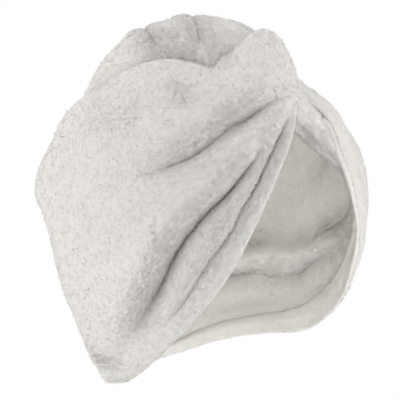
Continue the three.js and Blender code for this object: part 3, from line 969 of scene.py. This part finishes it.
def strand_tube(name, hood):
    """A soft strand of the twist along the far rim, laid on the hood's inner face."""
    inside = BVHTree.FromObject(hood, bpy.context.evaluated_depsgraph_get())
    tables = (STRAND_LIE, STRAND_FALL, STRAND_HEIGHT, STRAND_RADIUS)
    lie, fall, height, radius = (smooth_path(table, STRAND_LONG + 1) for table in tables)
    towards = direction(lie, fall)
    wall = [(inside.ray_cast(Vector(MIDDLE), Vector(way))[0] - Vector(MIDDLE)).length for way in towards]
    reach = np.array(wall) - height * MM
    for _ in range(STRAND_EASING):
        reach[1:-1] = (reach[:-2] + reach[1:-1] + reach[2:]) / 3
    middles = MIDDLE + towards * reach[:, None]
    along = np.gradient(middles, axis=0)
    along /= np.linalg.norm(along, axis=1)[:, None]
    out = towards - along * np.einsum("ij,ij->i", towards, along)[:, None]
    out /= np.linalg.norm(out, axis=1)[:, None]
    side = np.cross(along, out)
    edit = bmesh.new()
    bmesh.ops.create_grid(edit, x_segments=STRAND_ROUND, y_segments=STRAND_LONG, size=1)
    for v in edit.verts:
        i = round((v.co.y + 1) / 2 * STRAND_LONG)
        angle = math.pi * v.co.x
        pressed = STRAND_CREASE * math.exp(-(((angle - STRAND_CREASE_AT) / STRAND_CREASE_WIDTH) ** 2))
        spoke = math.cos(angle) * side[i] + math.sin(angle) * out[i]
        v.co = middles[i] + radius[i] * MM * (1 - pressed) * spoke
    bmesh.ops.remove_doubles(edit, verts=edit.verts, dist=0.01 * MM)
    bmesh.ops.holes_fill(edit, edges=[e for e in edit.edges if e.is_boundary], sides=0)
    bmesh.ops.recalc_face_normals(edit, faces=edit.faces)
    return object_from(edit, name)


def turn_edge(obj):
    """Narrows the far turned edge, rounds it and takes it over the rim."""
    points = points_of(obj.data)
    lie, fall, reach, _ = angles_of(points)
    rim = np.interp(fall, FAR_RIM_FALL, FAR_RIM_LIE)
    share = np.clip((lie / rim - TURNED_SHARE) / (1 - TURNED_SHARE), 0, 1)
    inner = 1 - facing(obj)
    near_crown = np.clip((TURNED_TOP_FALL - fall) / TURNED_TOP_FADE, 0, 1)
    narrow = TURNED_NARROW + TURNED_NARROW_TOP * near_crown
    wider = share + narrow * (1 - share)
    new_lie = rim * (TURNED_SHARE + (1 - TURNED_SHARE) * wider)
    bulge = TURNED_ROUND * np.sin(math.pi * share) * inner
    past = TURNED_PAST * np.clip((share - TURNED_PAST_FROM) / (1 - TURNED_PAST_FROM), 0, 1) ** 2
    ahead = direction(new_lie + np.sign(rim) * 0.5, fall) - direction(new_lie, fall)
    ahead /= np.linalg.norm(ahead, axis=1)[:, None]
    moved = MIDDLE + direction(new_lie, fall) * (reach - bulge + past)[:, None] + ahead * past[:, None]
    move_points(obj.data, moved)


def dress(obj, node, clump_height):
    """Shapes and finishes one cloth piece that stands for a node."""
    sizes = bpy.context.scene.towel_sizes
    shape_cloth(obj, node, sizes)
    clump(obj, clump_height, sizes.clump_width)
    shade_smooth(obj)
    # Turned edges, and below them the hood's inner faces, get the lighter fleece: painted light in the
    # hollow
    obj.data.materials.append(fleece_of("fleece_pile_inside" if node.startswith("hem") else "fleece_pile"))
    if node == "hood":
        obj.data.materials.append(fleece_of("fleece_pile_inside"))
        painted_light_faces = ~outer(*faces_of(obj.data))
        obj.data.polygons.foreach_set("material_index", painted_light_faces.astype(np.int32))
    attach(obj, BODY)
    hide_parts(node)
    return obj


def largest_faces(edit):
    """The two flat sides of the button."""
    return sorted(edit.faces, key=lambda f: -f.calc_area())[:2]


class TOWEL_OT_hood(bpy.types.Operator):
    """Make the hood's cloth and its pile"""

    bl_idname = "towel.hood"
    bl_label = "Hood"

    def execute(self, context):
        sizes = context.scene.towel_sizes
        hood = dress(subdivide(copy_of_node("hood", "hood_cloth"), 2), "hood", sizes.clump_height)
        # The pile in the hollow has the lighter fleece: painted light
        inside = "fleece_pile_inside"
        pile = [
            grow_pile(hood, "hood_pile_near", 11, outer_near),
            grow_pile(hood, "hood_pile_far", 21, outer_far),
            grow_pile(hood, "hood_pile_inside_near", 31, inner_near, INNER_SPACING, inside),
            grow_pile(hood, "hood_pile_inside_far", 35, inner_far, INNER_SPACING, inside),
        ]
        strand = clump(strand_tube("hood_strand", hood), sizes.clump_height, sizes.clump_width)
        set_nap(strand, STRAND_NAP)
        shade_smooth(strand)
        # The strand lies in the hollow and has the lighter fleece: painted light
        strand.data.materials.append(fleece_of("fleece_pile_inside"))
        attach(strand, BODY)
        fuzz = grow_pile(strand, "hood_strand_pile", 71, everywhere, 1, "fleece_pile_inside")
        pile += [strand, fuzz]
        return {"FINISHED"}


class TOWEL_OT_tail(bpy.types.Operator):
    """Make the tail's cloth and its pile"""

    bl_idname = "towel.tail"
    bl_label = "Tail"

    def execute(self, context):
        sizes = context.scene.towel_sizes
        sheet = tail_sheet("tail_cloth", bpy.data.objects["hood_cloth"])
        tail = dress(sheet, "tail", sizes.clump_height)
        pile = grow_pile(tail, "tail_pile", 41, outer)
        return {"FINISHED"}


class TOWEL_OT_hems(bpy.types.Operator):
    """Make the turned edges inside the rims"""

    bl_idname = "towel.hems"
    bl_label = "Turned edges"

    def execute(self, context):
        sizes = context.scene.towel_sizes
        for side, seed, flat in (("near", 51, (0.012, 0.32)), ("far", 61, (0.014, 0.37))):
            node = "hem_" + side
            edge = subdivide(copy_of_node(node, node + "_cloth"), 2)
            if side == "far":
                turn_edge(edge)
            hem = dress(edge, node, HEM_CLUMPS * sizes.clump_height)
            # The turned edges lie in the hollow and have the lighter fleece: painted light
            pile = grow_pile(
                hem, "hem_%s_pile" % side, seed, everywhere, material="fleece_pile_inside"
            )
        return {"FINISHED"}


class TOWEL_OT_button(bpy.types.Operator):
    """Make the hidden button at the nape"""

    bl_idname = "towel.button"
    bl_label = "Button"

    def execute(self, context):
        sizes = context.scene.towel_sizes
        obj = copy_of_node("nape_button", "nape_button_disc")
        edit = bmesh.new()
        edit.from_mesh(obj.data)
        rims = [e for f in largest_faces(edit) for e in f.edges]
        bmesh.ops.bevel(
            edit, geom=rims, offset=BUTTON_ROUND, segments=3, profile=0.5, affect="EDGES", material=-1
        )
        for flat in largest_faces(edit):
            bmesh.ops.inset_individual(edit, faces=[flat], thickness=sizes.button_rim, depth=0)
            bmesh.ops.inset_individual(edit, faces=[flat], thickness=BUTTON_STEP, depth=-BUTTON_STEP)
        edit.to_mesh(obj.data)
        edit.free()
        obj.data.materials.append(button_plastic("button_plastic"))
        obj.modifiers.new("Crisp", "WEIGHTED_NORMAL")
        apply_modifiers(obj)
        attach(obj, BODY)
        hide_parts("nape_button")
        return {"FINISHED"}


class TOWEL_OT_studio(bpy.types.Operator):
    """Make the floor, the soft lights, the world and the camera"""

    bl_idname = "towel.studio"
    bl_label = "Studio"

    def execute(self, context):
        studio = context.scene.towel_studio
        make_floor(studio)
        make_world(studio)
        make_camera(studio)
        make_lamps(studio)
        context.scene.view_settings.view_transform = "Standard"
        return {"FINISHED"}


def make_camera(studio):
    """A level camera with a long lens, round from the towel's front by the azimuth."""
    azimuth = studio.camera_azimuth
    towards_camera = np.array((math.sin(azimuth), -math.cos(azimuth), 0))
    data = bpy.data.cameras.new("camera")
    camera = new_object("camera", data)
    data.lens = data.sensor_width * studio.camera_distance / studio.frame_width
    data.clip_end = 20
    camera.location = AIM + towards_camera * studio.camera_distance
    camera.rotation_euler = (math.pi / 2, 0, azimuth)
    bpy.context.scene.camera = camera


def make_floor(studio):
    """A plain white floor, well below the towel."""
    edit = bmesh.new()
    bmesh.ops.create_grid(edit, x_segments=1, y_segments=1, size=FLOOR_HALF)
    lowest = cad_box[0].z - studio.floor_drop
    bmesh.ops.translate(edit, verts=edit.verts, vec=(0, 0, lowest))
    floor = object_from(edit, "floor")
    material, shader = new_material("pale_floor", 0.8)
    shader.inputs["Base Color"].default_value = (1, 1, 1, 1)
    floor.data.materials.append(material)


def make_world(studio):
    """An even white light from all round."""
    world = bpy.data.worlds.new("studio")
    bpy.context.scene.world = world
    world.use_nodes = True
    light = world.node_tree.nodes["Background"]
    light.inputs["Color"].default_value = (1, 1, 1, 1)
    light.inputs["Strength"].default_value = studio.world_strength


def make_lamps(studio):
    """The soft lights, each aimed at the middle of the hollow."""
    for lamp in LAMPS:
        away = np.array(lamp["away"])
        data = bpy.data.lights.new("lamp_" + lamp["name"], "AREA")
        data.size = lamp["size"]
        data.energy = studio.lamp_power * lamp["share"]
        light = new_object("lamp_" + lamp["name"], data)
        light.location = MIDDLE + away
        light.rotation_euler = Vector(-away).to_track_quat("-Z", "Y").to_euler()
        light.visible_camera = False


OPERATORS = (TOWEL_OT_hood, TOWEL_OT_tail, TOWEL_OT_hems, TOWEL_OT_button, TOWEL_OT_studio)


class TOWEL_PT_panel(bpy.types.Panel):
    """Lists the towel's sizes, colours and pieces."""

    bl_idname = "TOWEL_PT_panel"
    bl_label = "Hair turban towel"
    bl_space_type = "VIEW_3D"
    bl_region_type = "UI"
    bl_category = "Towel"

    def draw(self, context):
        scene = context.scene
        for group in (scene.towel_sizes, scene.towel_colours, scene.towel_studio):
            for name in group.__annotations__:
                self.layout.prop(group, name)
        for operator in OPERATORS:
            self.layout.operator(operator.bl_idname)


CLASSES = (TowelSizes, TowelColours, StudioSizes, *OPERATORS, TOWEL_PT_panel)


def register():
    """Registers the classes and hangs their settings on the scene."""
    for item in CLASSES:
        bpy.utils.register_class(item)
    bpy.types.Scene.towel_sizes = bpy.props.PointerProperty(type=TowelSizes)
    bpy.types.Scene.towel_colours = bpy.props.PointerProperty(type=TowelColours)
    bpy.types.Scene.towel_studio = bpy.props.PointerProperty(type=StudioSizes)


def unregister():
    """Takes off what register put on."""
    del bpy.types.Scene.towel_studio
    del bpy.types.Scene.towel_colours
    del bpy.types.Scene.towel_sizes
    for item in reversed(CLASSES):
        bpy.utils.unregister_class(item)


def main():
    """Makes every piece in order."""
    register()
    bpy.ops.towel.studio()
    bpy.ops.towel.hood()
    bpy.ops.towel.tail()
    bpy.ops.towel.hems()
    bpy.ops.towel.button()


if __name__ == "__main__":
    main()
